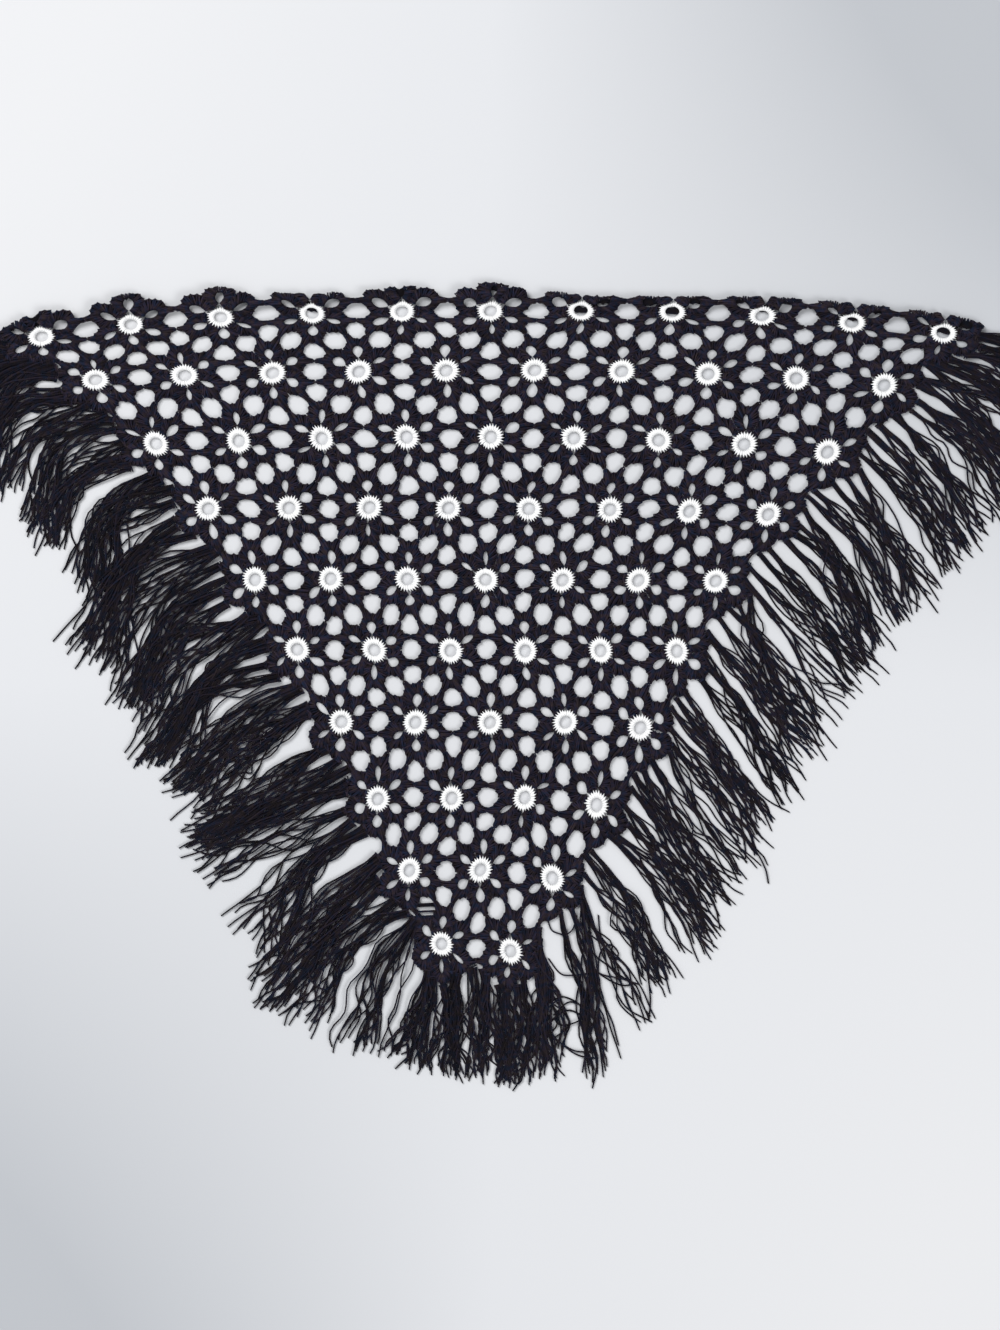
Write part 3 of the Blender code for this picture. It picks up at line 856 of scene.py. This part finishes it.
def yarn_material():
    """Matt charcoal yarn with a navy cast: plied, hairy, and a little uneven in colour."""
    material = bpy.data.materials.new("black_yarn")
    material.use_nodes = True
    nodes = material.node_tree.nodes
    links = material.node_tree.links
    shader = nodes["Principled BSDF"]
    shader.inputs["Roughness"].default_value = 0.88
    shader.inputs["Specular IOR Level"].default_value = 0.12
    shader.inputs["Sheen Weight"].default_value = 0.04
    shader.inputs["Sheen Roughness"].default_value = 0.45
    shader.inputs["Sheen Tint"].default_value = (0.65, 0.72, 1.0, 1)

    place = nodes.new("ShaderNodeTexCoord")
    tints = nodes.new("ShaderNodeTexNoise")
    tints.inputs["Scale"].default_value = 170
    tints.inputs["Detail"].default_value = 2
    links.new(place.outputs["Object"], tints.inputs["Vector"])
    hues = nodes.new("ShaderNodeValToRGB")
    hues.color_ramp.elements[0].position = 0.36
    hues.color_ramp.elements[0].color = (0.0060, 0.0095, 0.0225, 1)
    hues.color_ramp.elements[1].position = 0.64
    hues.color_ramp.elements[1].color = (0.0180, 0.0125, 0.0140, 1)
    plum = hues.color_ramp.elements.new(0.5)
    plum.color = (0.0140, 0.0100, 0.0190, 1)
    links.new(tints.outputs["Fac"], hues.inputs["Fac"])
    # Each strand's shade scales its colour: a random tone through the lace, and lower for the ground and the
    # fringe, where the lower level is painted shade
    strand = nodes.new("ShaderNodeAttribute")
    strand.attribute_name = "shade"
    tone_and_painted_shade = nodes.new("ShaderNodeMapRange")
    tone_and_painted_shade.inputs["To Min"].default_value = 0.25
    tone_and_painted_shade.inputs["To Max"].default_value = 1.7
    links.new(strand.outputs["Fac"], tone_and_painted_shade.inputs["Value"])
    colour = nodes.new("ShaderNodeVectorMath")
    colour.operation = "SCALE"
    links.new(hues.outputs["Color"], colour.inputs[0])
    links.new(tone_and_painted_shade.outputs["Result"], colour.inputs["Scale"])
    links.new(colour.outputs[0], shader.inputs["Base Color"])

    coordinates = nodes.new("ShaderNodeUVMap")
    coordinates.uv_map = "yarn"
    parts = nodes.new("ShaderNodeSeparateXYZ")
    links.new(coordinates.outputs["UV"], parts.inputs[0])
    around = nodes.new("ShaderNodeMath")
    around.operation = "MULTIPLY"
    around.inputs[1].default_value = 2 * 2 * math.pi
    links.new(parts.outputs["X"], around.inputs[0])
    turn = nodes.new("ShaderNodeMath")
    turn.operation = "MULTIPLY_ADD"
    turn.inputs[1].default_value = 2 * math.pi / 3.2
    links.new(parts.outputs["Y"], turn.inputs[0])
    links.new(around.outputs[0], turn.inputs[2])
    ply = nodes.new("ShaderNodeMath")
    ply.operation = "SINE"
    links.new(turn.outputs[0], ply.inputs[0])
    hairs = nodes.new("ShaderNodeTexNoise")
    hairs.inputs["Scale"].default_value = 900
    hairs.inputs["Detail"].default_value = 3
    links.new(place.outputs["Object"], hairs.inputs["Vector"])
    relief = nodes.new("ShaderNodeMath")
    relief.operation = "MULTIPLY_ADD"
    relief.inputs[1].default_value = 0.35
    links.new(ply.outputs[0], relief.inputs[0])
    links.new(hairs.outputs["Fac"], relief.inputs[2])
    bump = nodes.new("ShaderNodeBump")
    bump.inputs["Strength"].default_value = 0.7
    bump.inputs["Distance"].default_value = 0.0005
    links.new(relief.outputs[0], bump.inputs["Height"])
    links.new(bump.outputs["Normal"], shader.inputs["Normal"])
    return material


def thread_material():
    """Bright white cotton thread with fine grooves along it."""
    material = bpy.data.materials.new("white_thread")
    material.use_nodes = True
    nodes = material.node_tree.nodes
    links = material.node_tree.links
    shader = nodes["Principled BSDF"]
    shader.inputs["Roughness"].default_value = 0.6
    shader.inputs["Sheen Weight"].default_value = 0.1
    place = nodes.new("ShaderNodeTexCoord")
    patches = nodes.new("ShaderNodeTexNoise")
    patches.inputs["Scale"].default_value = 160
    links.new(place.outputs["Object"], patches.inputs["Vector"])
    colours = nodes.new("ShaderNodeValToRGB")
    colours.color_ramp.elements[0].color = (0.90, 0.90, 0.90, 1)
    colours.color_ramp.elements[1].color = (0.97, 0.97, 0.965, 1)
    links.new(patches.outputs["Fac"], colours.inputs["Fac"])
    links.new(colours.outputs["Color"], shader.inputs["Base Color"])
    coordinates = nodes.new("ShaderNodeUVMap")
    coordinates.uv_map = "yarn"
    grooves = nodes.new("ShaderNodeTexWave")
    grooves.inputs["Scale"].default_value = 1.2
    grooves.inputs["Distortion"].default_value = 1.0
    links.new(coordinates.outputs["UV"], grooves.inputs["Vector"])
    bump = nodes.new("ShaderNodeBump")
    bump.inputs["Strength"].default_value = 0.35
    bump.inputs["Distance"].default_value = 0.0003
    links.new(grooves.outputs["Fac"], bump.inputs["Height"])
    links.new(bump.outputs["Normal"], shader.inputs["Normal"])
    return material


def paper_material():
    """Pale paper with painted light and shade: a touch darker towards the upper right and the lower left (painted
    shade), a touch lighter towards the upper left and the lower right (painted light).
    """
    material = bpy.data.materials.new("pale_paper")
    material.use_nodes = True
    nodes = material.node_tree.nodes
    links = material.node_tree.links
    shader = nodes["Principled BSDF"]
    shader.inputs["Roughness"].default_value = 0.9
    shader.inputs["Specular IOR Level"].default_value = 0.1
    place = nodes.new("ShaderNodeTexCoord")
    parts = nodes.new("ShaderNodeSeparateXYZ")
    links.new(place.outputs["Object"], parts.inputs[0])
    # Painted light and shade: the paper's colour follows x times y, lighter where it is below zero and darker
    # where it is above, as the light falls unevenly over the floor
    corner = nodes.new("ShaderNodeMath")
    corner.operation = "MULTIPLY"
    links.new(parts.outputs["X"], corner.inputs[0])
    links.new(parts.outputs["Y"], corner.inputs[1])
    painted_light_shares = nodes.new("ShaderNodeMapRange")
    painted_light_shares.inputs["From Min"].default_value = -0.36
    painted_light_shares.inputs["From Max"].default_value = 0.36
    links.new(corner.outputs[0], painted_light_shares.inputs["Value"])
    colours = nodes.new("ShaderNodeValToRGB")
    colours.color_ramp.elements[0].color = PAPER_PAINTED_LIGHT
    colours.color_ramp.elements[1].color = PAPER_PAINTED_SHADE
    colours.color_ramp.elements.new(0.5).color = PAPER_MIDDLE
    links.new(painted_light_shares.outputs["Result"], colours.inputs["Fac"])
    links.new(colours.outputs["Color"], shader.inputs["Base Color"])
    return material


# Paper colours: the lighter end is painted light, the middle is the plain paper, the darker end is painted shade
PAPER_PAINTED_LIGHT = (0.67, 0.672, 0.682, 1)
PAPER_MIDDLE = (0.64, 0.647, 0.665, 1)
PAPER_PAINTED_SHADE = (0.45, 0.465, 0.49, 1)
FLOOR_SIZE = 6.0


def add_floor():
    bpy.ops.mesh.primitive_plane_add(size=FLOOR_SIZE, location=(0, 0, 0))
    floor = bpy.context.object
    floor.name = "paper_floor"
    floor.data.materials.append(paper_material())


def add_softbox(name, place, size, watts, target):
    light = bpy.data.lights.new(name, "AREA")
    light.shape = "DISK"
    light.size = size
    light.energy = watts
    lamp = bpy.data.objects.new(name, light)
    lamp.location = place
    lamp.rotation_euler = (Vector(target) - Vector(place)).to_track_quat("-Z", "Y").to_euler()
    bpy.context.scene.collection.objects.link(lamp)


# The photograph's frame: millimetres a pixel, pixels high, and the lens that looks straight down
PIXEL = 1.2
PHOTO_HEIGHT = 1330
LENS = 85.0
SENSOR = 36.0


def add_camera(shift):
    camera = bpy.data.cameras.new("camera")
    camera.lens = LENS
    camera.sensor_width = SENSOR
    camera.clip_end = 50
    distance = PIXEL * METRES * PHOTO_HEIGHT * LENS / SENSOR
    thing = bpy.data.objects.new("camera", camera)
    thing.location = (shift[0] * METRES, shift[1] * METRES, distance)
    bpy.context.scene.collection.objects.link(thing)
    bpy.context.scene.camera = thing


def add_lights():
    world = bpy.data.worlds.new("studio")
    world.use_nodes = True
    background = world.node_tree.nodes["Background"]
    background.inputs["Color"].default_value = (0.95, 0.97, 1.0, 1)
    background.inputs["Strength"].default_value = 0.48
    bpy.context.scene.world = world
    add_softbox("key_softbox", (-2.5, 2.3, 4.4), 3.2, 228, (0, 0, 0))
    add_softbox("fill_softbox", (2.6, -2.2, 3.2), 2.4, 85, (0.5, -0.4, 0))


# Rows of motifs in each piece of lace, so that no piece grows too large
LACE_ROWS = {
    "lace_rows_1_2": (0, 1),
    "lace_rows_3_4": (2, 3),
    "lace_rows_5_6": (4, 5),
    "lace_rows_7_10": (6, 9),
}


def main():
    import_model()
    lie = Lie()
    yarn = yarn_material()
    thread = thread_material()

    with_pieces = []
    ground = Weaver()
    for name, (first, last) in LACE_ROWS.items():
        rng = np.random.default_rng(SEED + first)
        petals = Petals(motif_rows(first, last), rng)
        add_web(ground, petals, lie)
        stitches = Weaver()
        add_stitches(stitches, petals, lie, rng)
        add_rim(stitches, petals, lie, rng)
        piece = stitches.piece(name, yarn)
        with_pieces.append(piece)
    web = ground.piece("lace_ground", yarn, smooth=False)
    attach(web, "root")
    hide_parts("lace_panel")

    rings = Weaver()
    add_rings(rings, lie, np.random.default_rng(SEED))
    piece = rings.piece("thread_rings", thread)
    with_pieces.append(piece)

    outline = border()
    lengths = [stretch_length(*stretch) for stretch in strip_stretches()]
    bottom_start = sum(lengths[:2]) + lengths[2] / 2
    bottom_end = sum(lengths[:4]) + lengths[4] / 2
    for node, start, end in (
        ("fringe_left", 0, bottom_start),
        ("fringe_bottom", bottom_start, bottom_end),
        ("fringe_right", bottom_end, sum(lengths)),
    ):
        strands = Weaver()
        rng = np.random.default_rng(SEED + round(start))
        add_fringe(strands, start, end, STRANDS[node], SPREADS[node], lie, outline, rng)
        if node == "fringe_bottom":
            add_loose_ends(strands, lie, rng)
            add_ladder(strands, lie, rng)
        piece = strands.piece(node + "_yarn", yarn)
        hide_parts(node)
        with_pieces.append(piece)

    for piece in with_pieces:
        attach(piece, "root")

    add_floor()
    add_lights()
    add_camera(lie.shift)
    bpy.context.scene.view_settings.view_transform = "Standard"


main()
